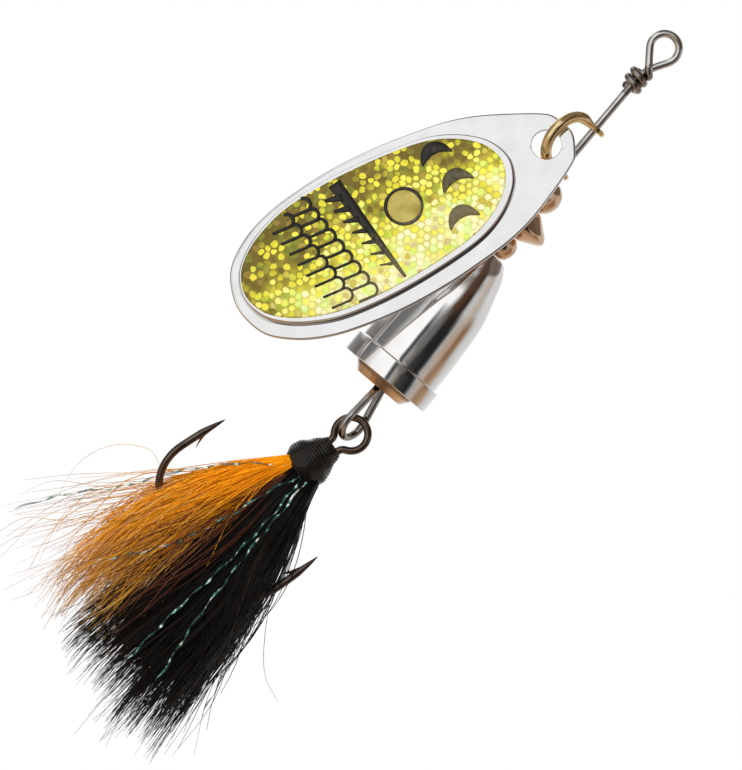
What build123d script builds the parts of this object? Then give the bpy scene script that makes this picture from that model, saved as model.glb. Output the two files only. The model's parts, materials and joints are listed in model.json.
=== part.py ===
from build123d import *
import math
import os

# An inline spinner, hanging from its line tie, in millimetres.
# Heights below are counted up from the rim of the bell body. At the end everything is lowered by
# LINE_TIE_HEIGHT, so that the origin is the inside top of the line-tie loop, on the shaft's axis.
# X is to the right and -Y is towards the viewer of the blade's face.

# Shaft wire
WIRE = 0.80
LINE_TIE_HEIGHT = 44.40
TIE_LOOP_CENTRE = (0.15, 43.30)
TIE_LOOP_RADIUS = 1.50
WRAP_TOP = 40.20
WRAP_RADIUS = 0.86
WRAP_PITCH = 0.86
WRAP_TURNS = 2.5
WRAP_START_DEG = -40.0
WRAP_LEAD_IN = (0.10, -0.85, 40.85)
POINTS_PER_TURN = 8
REAR_LOOP_X = 0.50
REAR_LOOP_HEIGHT = -5.45
REAR_LOOP_RADIUS = 1.60
REAR_LOOP_TURN_DEG = 60.0
TAG_END_HEIGHT = 2.50
BORE = WIRE / 2 + 0.05

# Beads and rotor: (radius, height) from bottom to top
LOWER_BEAD = [(1.20, 16.50), (1.55, 16.85), (1.85, 17.90), (1.60, 18.75), (1.25, 19.02)]
ROTOR = [
    (1.30, 19.12), (2.20, 19.70), (3.28, 20.20), (3.45, 20.50), (3.28, 20.80), (2.30, 21.70), (1.50, 22.52),
]
UPPER_BEAD = [(1.35, 22.62), (1.95, 23.30), (2.20, 24.40), (1.95, 25.25), (1.30, 25.90)]

# Bell body and the weight inside it
BELL = [(2.00, 16.20), (2.70, 15.00), (3.20, 13.50), (3.80, 11.50), (4.20, 9.50), (4.50, 5.50), (4.60, 2.30)]
BELL_TOP = 16.40
RIM_RADIUS = 5.05
RIM_TOP = 2.15
RIM_BOTTOM = -0.10
RIM_EDGE = 0.30
CORE_RADIUS = 3.62
CORE_TOP = 8.00
CORE_SEAT = 3.35
CORE_END_RADIUS = 2.70
CORE_END = -1.10
CORE_SOCKET_RADIUS = 1.35
CORE_SOCKET_TOP = 3.20

# Clevis: a stirrup of round wire with two flattened eyes on the shaft
CLEVIS_TURN_DEG = 38.0
CLEVIS_HEIGHT = 29.85
CLEVIS_WIRE = 1.15
CLEVIS_BEND = 2.80
CLEVIS_REACH = 4.84
CLEVIS_EYE_RADIUS = 1.15
CLEVIS_EYE_THICKNESS = 0.55

# Blade: U runs down the blade from the centre of its hole, V to its left, W out of its face
BLADE_HOLE = (-2.60, -2.80, 28.10)
BLADE_LEAN_DEG = 22.2
BLADE_ROLL_DEG = 13.0
BLADE_TILT_DEG = 3.0
BLADE_THICKNESS = 0.50
BLADE_HOLE_RADIUS = 1.50
BLADE_EDGE = [
    (-2.9, 0.0), (-2.2, 2.0), (-1.4, 2.95), (1.2, 4.4), (4.6, 6.0), (7.6, 6.95), (10.8, 7.5), (15.3, 8.0),
    (20.5, 8.1), (25.5, 7.6), (28.5, 6.9), (31.0, 5.8), (33.2, 4.2), (34.3, 2.4), (34.8, 0.0),
]
DOME_EDGE = [
    (3.8, 0.0), (4.3, 1.9), (5.4, 3.4), (7.4, 4.9), (10.0, 6.0), (13.5, 6.6), (18.0, 6.95), (22.0, 6.95),
    (26.0, 6.55), (29.0, 5.6), (31.4, 4.3), (33.2, 2.5), (33.95, 0.0),
]
DOME_SHIFT = 0.35
DOME_STEPS = [(0.10, 0.0), (1.30, 0.45), (1.50, 2.6), (1.64, 4.8)]
DECAL_INSET = 0.85
DECAL_THICKNESS = 0.08

# Treble hook: S runs down the shank from the centre of the eye
HOOK_EYE = (0.95, 0.0, -6.40)
HOOK_LEAN_DEG = 16.0
HOOK_WIRE = 0.78
HOOK_EYE_RADIUS = 1.70
HOOK_BEND_RADIUS = 4.65
HOOK_BEND_START = 14.65
HOOK_POINT = 9.50
HOOK_TIP_LENGTH = 2.60
HOOK_BARB = 12.60
SHANK_OFFSET = 0.48
DOUBLE_HOOK_DEG = (-60.0, 60.0)
SINGLE_HOOK_DEG = 180.0
SINGLE_SHANK_START = 2.60

# Dressing: stations down the shank are (S, radius) for the thread
THREAD = [(2.25, 1.20), (3.30, 1.60), (4.90, 2.45), (6.10, 2.15), (6.90, 1.55)]
# and (height, centre x, centre y, half width, half depth) for each bundle of hair
ORANGE_HAIR = [
    (-13.3, -2.1, -0.5, 0.55, 0.8), (-16.0, -4.1, -1.1, 1.8, 1.8), (-20.0, -6.3, -1.7, 2.7, 2.5),
    (-26.0, -8.6, -1.9, 3.9, 2.8), (-32.0, -9.6, -1.8, 3.9, 2.5), (-37.5, -11.4, -1.6, 2.2, 1.1),
]
BLACK_HAIR = [
    (-13.6, -0.1, -0.1, 0.8, 1.2), (-16.0, 0.2, -0.5, 2.2, 2.3), (-20.0, 0.4, -0.8, 2.9, 3.1),
    (-26.0, 0.3, -0.9, 4.0, 3.8), (-33.0, -0.2, -0.8, 4.6, 3.7), (-42.5, -0.6, -0.4, 3.2, 1.5),
]
BROWN_HAIR = [
    (-14.6, -2.6, 2.5, 0.7, 0.6), (-18.0, -3.6, 3.5, 1.6, 1.0), (-24.0, -5.0, 4.6, 2.6, 1.4),
    (-30.0, -6.0, 5.3, 2.9, 1.4), (-35.5, -7.0, 5.8, 1.6, 0.6),
]
BACK_HAIR = [
    (-14.6, 1.0, 2.7, 0.7, 0.6), (-18.0, 1.2, 3.7, 2.0, 1.0), (-24.0, 1.6, 5.0, 2.9, 1.4),
    (-31.0, 2.2, 5.7, 3.4, 1.5), (-40.0, 3.0, 6.0, 1.8, 0.6),
]
# Flash strands: routes down the front and side of the hair
FLASH = 0.45
FLASH_ROUTES = [
    [
        (0.5, -2.2, -13.6), (0.6, -3.6, -16.5), (0.7, -4.8, -20.5),
        (0.8, -5.5, -26.0), (1.3, -5.5, -32.5), (1.9, -4.4, -39.0),
    ],
    [(0.0, -2.5, -14.4), (-0.1, -4.7, -19.5), (-0.6, -5.5, -26.0), (-1.2, -5.5, -31.5), (-1.8, -4.4, -39.0)],
    [
        (-1.0, -2.0, -13.8), (-2.9, -4.0, -19.5), (-5.4, -5.2, -25.5),
        (-8.0, -5.5, -29.5), (-10.4, -5.0, -32.5),
    ],
    [
        (-3.3, -2.6, -13.9), (-7.2, -3.4, -17.8), (-11.2, -3.4, -22.0),
        (-15.4, -3.6, -27.2), (-20.0, -3.2, -33.5),
    ],
    [(2.6, -1.4, -14.6), (4.3, -1.6, -19.5), (5.4, -1.7, -25.0), (6.2, -1.5, -31.0), (7.6, -1.0, -37.5)],
]


def bent_wire(points, diameter):
    """A round wire of straight runs joined by tangent arcs, and the smallest arc's radius."""
    corners = [Vector(*p) for p in points]
    radii = []
    for before, at, after in zip(corners, corners[1:], corners[2:]):
        turn = math.radians((at - before).get_angle(after - at))
        run = min((at - before).length, (after - at).length)
        radii.append(0.45 * run / math.tan(turn / 2))
    path = FilletPolyline(*corners, radius=radii)
    start = Plane(origin=path @ 0, z_dir=path % 0)
    return sweep(start * Circle(diameter / 2), path=path), min(radii)


def on_plane(origin, direction, pairs):
    """Points (distance along a level direction, height) as points in space."""
    return [(origin[0] + q * direction[0], origin[1] + q * direction[1], z) for q, z in pairs]


def turned(profile, bore=BORE):
    """A smooth turned bead from (radius, height) pairs, bored for the shaft."""
    bottom, top = profile[0], profile[-1]
    with BuildPart() as bead:
        with BuildSketch(Plane.XZ):
            with BuildLine():
                Spline(*profile)
                Polyline(top, (bore, top[1]), (bore, bottom[1]), bottom)
            make_face()
        revolve(axis=Axis.Z)
    return bead.part


def lathe(outline):
    """A turned piece from a closed outline of (radius, height) points."""
    return revolve(Plane.XZ * make_face(Polyline(*outline, close=True)), axis=Axis.Z)


def make_shaft_wire():
    """Line-tie loop, wrap, straight shaft and rear loop, bent from one wire."""
    cx, cz = TIE_LOOP_CENTRE
    rear = math.radians(REAR_LOOP_TURN_DEG)
    side = (math.cos(rear), math.sin(rear))
    tag = (0.87 * side[0], 0.87 * side[1])
    points = [(tag[0], tag[1], TAG_END_HEIGHT), (tag[0], tag[1], -1.0)]
    angles = [20, -15, -50, -90, -130, -165, -200]
    loop = []
    for angle in angles:
        a = math.radians(angle)
        loop.append((REAR_LOOP_RADIUS * math.cos(a), REAR_LOOP_HEIGHT + REAR_LOOP_RADIUS * math.sin(a)))
    points += on_plane((REAR_LOOP_X, 0), side, loop)
    points += [(0, 0, -1.0), (0, 0, WRAP_TOP - 0.3), (0.50, 0.25, 41.05)]
    for angle in (-35, 0, 35, 70, 105, 140, 175, 210):
        a = math.radians(angle)
        lean = 0.25 - 0.5 * (angle + 35) / 245
        points.append((cx + TIE_LOOP_RADIUS * math.cos(a), lean, cz + TIE_LOOP_RADIUS * math.sin(a)))
    points.append(WRAP_LEAD_IN)
    steps = round(WRAP_TURNS * POINTS_PER_TURN)
    for i in range(steps + 1):
        turns = i / POINTS_PER_TURN
        a = math.radians(WRAP_START_DEG) + 2 * math.pi * turns
        points.append((WRAP_RADIUS * math.cos(a), WRAP_RADIUS * math.sin(a), WRAP_TOP - WRAP_PITCH * turns))
    return bent_wire(points, WIRE)


def make_bell():
    """The hollow bell: outer curve, thick rim and a bore through its crown."""
    crown = BELL[0]
    foot = BELL[-1]
    with BuildPart() as bell:
        with BuildSketch(Plane.XZ):
            with BuildLine():
                Spline(*BELL)
                Polyline(
                    foot, (foot[0], RIM_TOP),
                    (RIM_RADIUS - RIM_EDGE, RIM_TOP), (RIM_RADIUS, RIM_TOP - RIM_EDGE),
                    (RIM_RADIUS, RIM_BOTTOM + RIM_EDGE), (RIM_RADIUS - RIM_EDGE, RIM_BOTTOM),
                    (CORE_RADIUS + 0.03, RIM_BOTTOM), (CORE_RADIUS + 0.03, CORE_TOP - 1.0),
                )
                Polyline(crown, (crown[0] - 0.2, BELL_TOP), (BORE, BELL_TOP), (BORE, BELL_TOP - 1.6))
                Spline(
                    (BORE, BELL_TOP - 1.6), (1.7, 13.6), (2.6, 11.5), (3.2, 9.3),
                    (CORE_RADIUS + 0.03, CORE_TOP - 1.0)
                )
            make_face()
        revolve(axis=Axis.Z)
    return bell.part


def make_core():
    """The turned weight inside the bell, with a socket for the shaft wire's tag end."""
    return lathe([
        (BORE, CORE_TOP), (1.6, CORE_TOP), (CORE_SEAT - 0.9, CORE_TOP - 0.4), (CORE_SEAT, CORE_TOP - 2.2),
        (CORE_RADIUS, CORE_TOP - 3.2), (CORE_RADIUS, 0.4), (CORE_SEAT, -0.25), (CORE_END_RADIUS, CORE_END),
        (CORE_SOCKET_RADIUS, CORE_END), (CORE_SOCKET_RADIUS, CORE_SOCKET_TOP), (BORE, CORE_SOCKET_TOP + 0.6),
    ])


def make_clevis():
    """The stirrup in its own plane, turned about the shaft."""
    leg = CLEVIS_REACH - CLEVIS_BEND
    path = [(0.85, CLEVIS_HEIGHT - CLEVIS_BEND), (leg, CLEVIS_HEIGHT - CLEVIS_BEND)]
    stirrup = Polyline((0.85, 0, path[0][1]), (leg, 0, path[1][1]))
    bend = ThreePointArc(
        (leg, 0, CLEVIS_HEIGHT - CLEVIS_BEND),
        (CLEVIS_REACH, 0, CLEVIS_HEIGHT),
        (leg, 0, CLEVIS_HEIGHT + CLEVIS_BEND),
    )
    back = Line((leg, 0, CLEVIS_HEIGHT + CLEVIS_BEND), (0.85, 0, CLEVIS_HEIGHT + CLEVIS_BEND))
    route = Wire([*stirrup.edges(), *bend.edges(), *back.edges()])
    section = Plane(origin=(0.85, 0, path[0][1]), z_dir=(1, 0, 0)) * Circle(CLEVIS_WIRE / 2)
    body = sweep(section, path=route)
    for height in (CLEVIS_HEIGHT - CLEVIS_BEND, CLEVIS_HEIGHT + CLEVIS_BEND):
        body += Pos(0, 0, height) * Cylinder(CLEVIS_EYE_RADIUS, CLEVIS_EYE_THICKNESS)
    body -= Pos(0, 0, CLEVIS_HEIGHT) * Cylinder(BORE + 0.02, 3 * CLEVIS_BEND)
    return Rot(0, 0, -90 - CLEVIS_TURN_DEG) * body


def blade_plane():
    """The blade's own frame: X down the blade, Y to its left and Z out of its face."""
    lean = math.radians(BLADE_LEAN_DEG)
    down = Vector(-math.sin(lean), 0, -math.cos(lean))
    left = Vector(-math.cos(lean), 0, math.sin(lean))
    out = Vector(0, -1, 0)
    tilt = math.radians(BLADE_TILT_DEG)
    roll = math.radians(BLADE_ROLL_DEG)
    x_dir = down * math.cos(tilt) + out * math.sin(tilt)
    out = out * math.cos(tilt) - down * math.sin(tilt)
    z_dir = out * math.cos(roll) + left * math.sin(roll)
    return Plane(origin=BLADE_HOLE, x_dir=x_dir, z_dir=z_dir)


def blade_outline(edge, inset, height):
    """The closed outline of an edge table, drawn in by inset on every side, at a height."""
    middle = (edge[0][0] + edge[-1][0]) / 2
    half = (edge[-1][0] - edge[0][0]) / 2
    widest = max(v for u, v in edge)
    along = 1 - inset / half
    across = 1 - inset / widest
    right = [(middle + (u - middle) * along, v * across) for u, v in edge]
    left = [(u, -v) for u, v in reversed(right[1:-1])]
    return Pos(0, 0, height) * make_face(Spline(*right, *left, periodic=True))


def dome(rise=0.0, inset=0.0):
    """The raised dome as a solid, lifted by rise and drawn in by inset."""
    return loft([blade_outline(DOME_EDGE, step + inset, height + rise) for height, step in DOME_STEPS])


def make_blade():
    """The pressed blade and the decal on its dome, in the blade's own frame."""
    plate = extrude(blade_outline(BLADE_EDGE, 0, 0), BLADE_THICKNESS)
    hole = Cylinder(BLADE_HOLE_RADIUS, 4)
    place = Pos(0, DOME_SHIFT, 0)
    blade = plate + place * dome() - place * dome(-BLADE_THICKNESS, BLADE_THICKNESS * 0.8) - hole
    window = extrude(blade_outline(DOME_EDGE, DECAL_INSET, 0), 6)
    decal = (window & dome(DECAL_THICKNESS)) - dome()
    return blade, place * decal


def hook_plane(turn):
    """The plane of one hook: X outwards, Y up the shank, turned about the shank from the viewer."""
    lean = math.radians(HOOK_LEAN_DEG)
    down = Vector(-math.sin(lean), 0, -math.cos(lean))
    left = Vector(-math.cos(lean), 0, math.sin(lean))
    a = math.radians(turn)
    outward = Vector(0, -1, 0) * math.cos(a) + left * math.sin(a)
    return Plane(origin=HOOK_EYE, x_dir=outward, z_dir=outward.cross(down * -1))


def make_hook(turn, shank_start):
    """Shank, bend, point and barb of one hook."""
    plane = hook_plane(turn)
    far = SHANK_OFFSET + 2 * HOOK_BEND_RADIUS
    tip_foot = HOOK_POINT + HOOK_TIP_LENGTH
    shank = Line((SHANK_OFFSET, -shank_start), (SHANK_OFFSET, -HOOK_BEND_START))
    bend = ThreePointArc(
        (SHANK_OFFSET, -HOOK_BEND_START),
        (SHANK_OFFSET + HOOK_BEND_RADIUS, -HOOK_BEND_START - HOOK_BEND_RADIUS),
        (far, -HOOK_BEND_START),
    )
    rise = Line((far, -HOOK_BEND_START), (far, -tip_foot))
    route = plane * Wire([*shank.edges(), *bend.edges(), *rise.edges()])
    start = Plane(origin=route @ 0, z_dir=route % 0)
    hook = sweep(start * Circle(HOOK_WIRE / 2), path=route)
    foot = Plane(origin=route @ 1, z_dir=route % 1)
    hook += loft([foot * Circle(HOOK_WIRE / 2), foot.offset(HOOK_TIP_LENGTH) * Circle(0.06)])
    barb = make_face(Polyline(
        (far, -HOOK_BARB - 0.9), (far - 0.85, -HOOK_BARB - 0.35), (far, -HOOK_BARB + 0.9), close=True
    ))
    barb_plane = Plane(origin=plane.origin, x_dir=plane.x_dir, z_dir=plane.z_dir)
    hook += extrude(barb_plane * barb, 0.12, both=True)
    return hook


def make_double_hook():
    """Two hooks bent from one wire, with the eye between them."""
    double = Location(Plane(origin=HOOK_EYE, z_dir=(0, 1, 0))) * Torus(HOOK_EYE_RADIUS, HOOK_WIRE / 2)
    for turn in DOUBLE_HOOK_DEG:
        double += make_hook(turn, HOOK_EYE_RADIUS)
    return double


def shank_frame():
    """Z down the shank from the eye's centre."""
    lean = math.radians(HOOK_LEAN_DEG)
    return Plane(origin=HOOK_EYE, x_dir=(0, -1, 0), z_dir=(-math.sin(lean), 0, -math.cos(lean)))


def make_thread():
    """The thread wrap: a waisted collar round the three shanks."""
    edge = [(radius, down) for down, radius in THREAD]
    with BuildPart() as wrap:
        with BuildSketch(Plane.XZ):
            with BuildLine():
                Spline(*edge)
                Polyline(edge[-1], (0, edge[-1][1]), (0, edge[0][1]), edge[0])
            make_face()
        revolve(axis=Axis.Z)
    return shank_frame().location * wrap.part


def make_hair(stations):
    """One bundle of hair as a closed tapered solid through level ellipses."""
    return loft([Pos(x, y, z) * Ellipse(width, depth) for z, x, y, width, depth in stations])


def main():
    nodes = {}
    nodes["shaft_wire"], tightest = make_shaft_wire()
    print("shaft wire's tightest arc:", round(tightest, 2), "mm")
    nodes["lower_bead"] = turned(LOWER_BEAD)
    nodes["rotor"] = turned(ROTOR)
    nodes["upper_bead"] = turned(UPPER_BEAD)
    nodes["bell_body"] = make_bell()
    nodes["weight_core"] = make_core()
    nodes["clevis"] = make_clevis()
    blade, decal = make_blade()
    nodes["blade"] = blade_plane().location * blade
    nodes["blade_decal"] = blade_plane().location * decal
    nodes["double_hook"] = make_double_hook()
    nodes["single_hook"] = make_hook(SINGLE_HOOK_DEG, SINGLE_SHANK_START)
    nodes["thread_wrap"] = make_thread()
    hair = {
        "orange_hair": ORANGE_HAIR, "black_hair": BLACK_HAIR,
        "brown_hair": BROWN_HAIR, "back_hair": BACK_HAIR,
    }
    for name, stations in hair.items():
        nodes[name] = make_hair(stations)
    for number, route in enumerate(FLASH_ROUTES, 1):
        nodes[f"flash_strand_{number}"], tightest = bent_wire(route, FLASH)
    os.makedirs("parts", exist_ok=True)
    for name, solid in nodes.items():
        export_step(Pos(0, 0, -LINE_TIE_HEIGHT) * solid, f"parts/{name}.step")


main()
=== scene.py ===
import json
import math
import random

import bmesh
import bpy
import numpy as np
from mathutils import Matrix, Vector


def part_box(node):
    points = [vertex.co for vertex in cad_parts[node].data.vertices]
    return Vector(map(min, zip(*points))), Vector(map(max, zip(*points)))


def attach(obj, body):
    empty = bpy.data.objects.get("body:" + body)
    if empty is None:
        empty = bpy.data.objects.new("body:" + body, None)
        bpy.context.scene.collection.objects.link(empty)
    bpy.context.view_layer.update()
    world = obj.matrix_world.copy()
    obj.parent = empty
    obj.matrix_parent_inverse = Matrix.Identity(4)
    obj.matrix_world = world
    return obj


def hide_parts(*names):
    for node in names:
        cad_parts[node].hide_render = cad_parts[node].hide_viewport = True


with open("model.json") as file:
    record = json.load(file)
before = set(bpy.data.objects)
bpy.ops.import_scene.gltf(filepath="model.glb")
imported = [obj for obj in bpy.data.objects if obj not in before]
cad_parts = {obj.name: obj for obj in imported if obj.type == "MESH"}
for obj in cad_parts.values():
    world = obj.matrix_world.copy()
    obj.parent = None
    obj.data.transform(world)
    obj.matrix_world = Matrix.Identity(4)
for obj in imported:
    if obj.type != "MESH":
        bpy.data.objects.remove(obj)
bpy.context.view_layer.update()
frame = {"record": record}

# Lengths are in millimetres, with heights counted up from the bell's rim, until piece() turns them into
# metres in the frame. X is to the right, and the viewer of the blade's face looks along +Y.
MM = 0.001
RIM_BOTTOM = -0.10
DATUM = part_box("bell_body")[0].z / MM - RIM_BOTTOM
SLOT_OF = {part["node"]: part["material_slot"] for part in frame["record"]["subparts"]}
UP = np.array([0.0, 0.0, 1.0])
OUT = np.array([0.0, -1.0, 0.0])

# ---------------- sizes

WIRE = 0.80
WIRE_STEP = 0.12
BORE = 0.45
TIE_CENTRE = (0.15, 43.30)
TIE_RADIUS = 1.50
WRAP_TOP = 40.20
WRAP_RADIUS = 0.86
WRAP_PITCH = 0.86
WRAP_TURNS = 2.5
WRAP_START = math.radians(-40)
WRAP_MIDDLE = 39.0
WRAP_HALF = 1.75
REAR_X = 0.50
REAR_HEIGHT = -5.45
REAR_RADIUS = 1.60
REAR_TURN = math.radians(60)
REAR_TOP = -0.9

CLEVIS_TURN = math.radians(38)
CLEVIS_HEIGHT = 29.85
CLEVIS_BEND = 2.80
CLEVIS_REACH = 4.84
CLEVIS_WIRE = 1.15
EYE_RADIUS = 1.15
EYE_THICKNESS = 0.55

BLADE_HOLE = np.array([-2.60, -2.80, 28.10])
BLADE_LEAN = math.radians(22.2)
BLADE_ROLL = math.radians(13)
BLADE_TILT = math.radians(3)
BLADE_THICKNESS = 0.50
HOLE_RADIUS = 1.50
HOLE_CHAMFER = 0.06
BLADE_EDGE = [
    (-2.9, 0.0), (-2.2, 2.0), (-1.4, 2.95), (1.2, 4.4), (4.6, 6.0), (7.6, 6.95), (10.8, 7.5), (15.3, 8.0),
    (20.5, 8.1), (25.5, 7.6), (28.5, 6.9), (31.0, 5.8), (33.2, 4.2), (34.3, 2.4), (34.8, 0.0),
]
DOME_EDGE = [
    (3.8, 0.0), (4.3, 1.9), (5.4, 3.4), (7.4, 4.9), (10.0, 6.0), (13.5, 6.6), (18.0, 6.95), (22.0, 6.95),
    (26.0, 6.55), (29.0, 5.6), (31.4, 4.3), (33.2, 2.5), (33.95, 0.0),
]
DOME_SHIFT = 0.35
DOME_MIDDLE = (DOME_EDGE[0][0] + DOME_EDGE[-1][0]) / 2
DOME_HALF = (DOME_EDGE[-1][0] - DOME_EDGE[0][0]) / 2
DOME_WIDEST = max(v for u, v in DOME_EDGE)
WALL_WIDTH = 0.30
WALL_RISE = 0.80
CROWN_RISE = 0.34
DECAL_INSET = 0.66
DECAL_SHIFT = np.array([0.28, 0.12])
DECAL_RISE = 0.06

HOOK_EYE = np.array([0.95, 0.0, -6.40])
HOOK_LEAN = math.radians(16)
HOOK_WIRE = 0.78
HOOK_EYE_RADIUS = 1.70
HOOK_BEND = 4.65
HOOK_BEND_START = 14.65
HOOK_POINT = 9.50
TIP_LENGTH = 2.60
TIP_RADIUS = 0.02
SHANK_OFFSET = 0.48
DOUBLE_START = 3.40
SINGLE_START = 2.60
POINT_CURVE = 0.012

# ---------------- shapes


def unit(arrows):
    """Vectors scaled to a length of one."""
    return arrows / np.linalg.norm(arrows, axis=-1, keepdims=True)


def sideways(along):
    """Flat directions turned by a quarter."""
    return np.column_stack([-along[:, 1], along[:, 0]])


def full_turn(sides):
    """Angles evenly spaced round a circle."""
    return np.arange(sides) * 2 * math.pi / sides


def leaning(angle):
    """Down and left, turned by an angle about the line of sight."""
    sine, cosine = math.sin(angle), math.cos(angle)
    return np.array([-sine, 0, -cosine]), np.array([-cosine, 0, sine])


def smooth(points, steps=8, closed=False):
    """A Catmull-Rom curve through points, with steps pieces to each span."""
    points = np.asarray(points, float)
    if closed:
        padded = np.vstack([points[-1], points, points[:2]])
    else:
        padded = np.vstack([2 * points[0] - points[1], points, 2 * points[-1] - points[-2]])
    t = np.arange(steps)[:, None] / steps
    rows = []
    for a, b, c, d in zip(padded, padded[1:], padded[2:], padded[3:]):
        square, cube = 2 * a - 5 * b + 4 * c - d, 3 * b - a - 3 * c + d
        rows.append(0.5 * (2 * b + (c - a) * t + square * t**2 + cube * t**3))
    curve = np.vstack(rows)
    return curve if closed else np.vstack([curve, points[-1]])


def spaced(points, step):
    """The same route with points evenly spaced."""
    points = np.asarray(points, float)
    along = np.concatenate([[0], np.cumsum(np.linalg.norm(np.diff(points, axis=0), axis=1))])
    places = np.linspace(0, along[-1], max(4, round(along[-1] / step)))
    return np.column_stack([np.interp(places, along, points[:, k]) for k in range(points.shape[1])])


def relaxed(points, rounds):
    """The same route with its bends eased."""
    points = points.copy()
    for _ in range(rounds):
        points[1:-1] = 0.5 * points[1:-1] + 0.25 * (points[:-2] + points[2:])
    return points


def arc(centre, right, up, radius, start, end, count):
    """Points on an arc between two angles in degrees, in the plane of two unit vectors."""
    angles = np.radians(np.linspace(start, end, count))[:, None]
    return np.asarray(centre) + radius * (np.cos(angles) * right + np.sin(angles) * up)


def frames_along(points):
    """Two directions square to a route at each of its points, without twist."""
    tangents = unit(np.gradient(points, axis=0))
    normals = [unit(np.cross(tangents[0], np.eye(3)[np.argmin(abs(tangents[0]))]))]
    for tangent in tangents[1:]:
        normals.append(unit(normals[-1] - tangent * np.dot(normals[-1], tangent)))
    normals = np.array(normals)
    return normals, np.cross(tangents, normals)


def ring_faces(rings, sides, capped=True, looped=False):
    """Quads between rings of points, with flat ends or joined end to end."""
    faces = []
    for i in range(rings if looped else rings - 1):
        a, b = i * sides, (i + 1) % rings * sides
        for k in range(sides):
            j = (k + 1) % sides
            faces.append((a + k, a + j, b + j, b + k))
    if capped and not looped:
        faces.append(tuple(range(sides))[::-1])
        faces.append(tuple(range((rings - 1) * sides, rings * sides)))
    return faces


def tube(points, radii, sides=20, flat=1.0, turn=0.0):
    """A closed tube along a route. flat is one half-width over the other, turn its twist in radians."""
    points = np.asarray(points, float)
    radii, flat, turn = (np.broadcast_to(v, len(points))[:, None, None] for v in (radii, flat, turn))
    across, along = (direction[:, None] for direction in frames_along(points))
    wide = np.cos(turn) * across + np.sin(turn) * along
    thin = np.cos(turn) * along - np.sin(turn) * across
    angles = full_turn(sides)[None, :, None]
    rings = points[:, None] + radii * (np.cos(angles) * wide + flat * np.sin(angles) * thin)
    return rings.reshape(-1, 3), ring_faces(len(points), sides)


def cut_ends(points, radius, chamfer=0.12):
    """A wire's route and radii with both cut ends a little rounded."""
    ends = []
    for end, inner in ((points[0], points[1]), (points[-1], points[-2])):
        back = unit(inner - end)
        ends.append([end + back * chamfer * k for k in (0, 0.3, 1)])
    radii = [radius - chamfer * k for k in (1, 0.3, 0)]
    middle = points[2:-2]
    route = np.vstack([ends[0], middle, ends[1][::-1]])
    return route, np.concatenate([radii, np.full(len(middle), radius), radii[::-1]])


def rounded(outline, radii, steps=5):
    """A closed outline of (radius, height) with its corners rounded by the given lengths."""
    outline = np.asarray(outline, float)
    rows = []
    for i, cut in enumerate(radii):
        before, at, after = outline[i - 1], outline[i], outline[(i + 1) % len(outline)]
        if cut == 0:
            rows.append(at[None])
            continue
        t = np.linspace(0, 1, steps + 1)[:, None]
        rows.append(at + cut * (unit(before - at) * (1 - t) ** 2 + unit(after - at) * t**2))
    return np.vstack(rows)


def lathe(outline, sides=160):
    """A turned piece from a closed outline of (radius, height)."""
    angles = full_turn(sides)
    r, z = outline[:, 0, None], outline[:, 1, None]
    rings = np.stack([r * np.cos(angles), r * np.sin(angles), z + 0 * angles], axis=2)
    return rings.reshape(-1, 3), ring_faces(len(outline), sides, looped=True)


def merged(*meshes):
    """Several (points, faces) as one."""
    points, faces, count = [], [], 0
    for some_points, some_faces in meshes:
        points.append(some_points)
        faces += [tuple(k + count for k in face) for face in some_faces]
        count += len(some_points)
    return np.vstack(points), faces


def piece(name, shape, material, body, *nodes, slot=None, uv=None, shades=None):
    """Makes an object from (points, faces) that rides on a body and stands for CAD nodes."""
    points, faces = shape
    points = np.asarray(points, float) + UP * DATUM
    mesh = bpy.data.meshes.new(name)
    mesh.from_pydata((points * MM).tolist(), [], faces)
    if uv is not None:
        layer = mesh.uv_layers.new(name="UVMap")
        corners = np.array([loop.vertex_index for loop in mesh.loops])
        layer.data.foreach_set("uv", np.asarray(uv)[corners].astype(np.float32).ravel())
    if shades is not None:
        attribute = mesh.attributes.new("shade", "FLOAT", "POINT")
        attribute.data.foreach_set("value", np.asarray(shades, np.float32))
    tidy = bmesh.new()
    tidy.from_mesh(mesh)
    bmesh.ops.recalc_face_normals(tidy, faces=tidy.faces)
    tidy.to_mesh(mesh)
    tidy.free()
    mesh.materials.append(material)
    mesh.shade_smooth()
    made = bpy.data.objects.new(name, mesh)
    bpy.context.scene.collection.objects.link(made)
    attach(made, body)
    if nodes:
        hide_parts(*nodes)
    return made


def applied(made):
    """Turns an object's modifiers into its mesh."""
    result = bpy.data.meshes.new_from_object(made.evaluated_get(bpy.context.evaluated_depsgraph_get()))
    made.modifiers.clear()
    made.data = result
    return made


def creased(made, degrees):
    """Smooth shading with creases where faces meet at more than an angle."""
    mesh = bmesh.new()
    mesh.from_mesh(made.data)
    bmesh.ops.dissolve_degenerate(mesh, dist=0.0005 * MM, edges=mesh.edges)
    for edge in mesh.edges:
        edge.smooth = len(edge.link_faces) != 2 or edge.calc_face_angle(0.0) < math.radians(degrees)
    mesh.to_mesh(made.data)
    mesh.free()
    made.data.shade_smooth()


# ---------------- materials


def new_material(name, colour, roughness, metallic=0.0, **values):
    """A material with plain settings on its Principled shader."""
    material = bpy.data.materials.new(name)
    material.use_nodes = True
    shader = material.node_tree.nodes["Principled BSDF"]
    shader.inputs["Base Color"].default_value = (*colour, 1)
    shader.inputs["Roughness"].default_value = roughness
    shader.inputs["Metallic"].default_value = metallic
    for key, value in values.items():
        shader.inputs[key.replace("_", " ")].default_value = value
    return material


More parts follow.
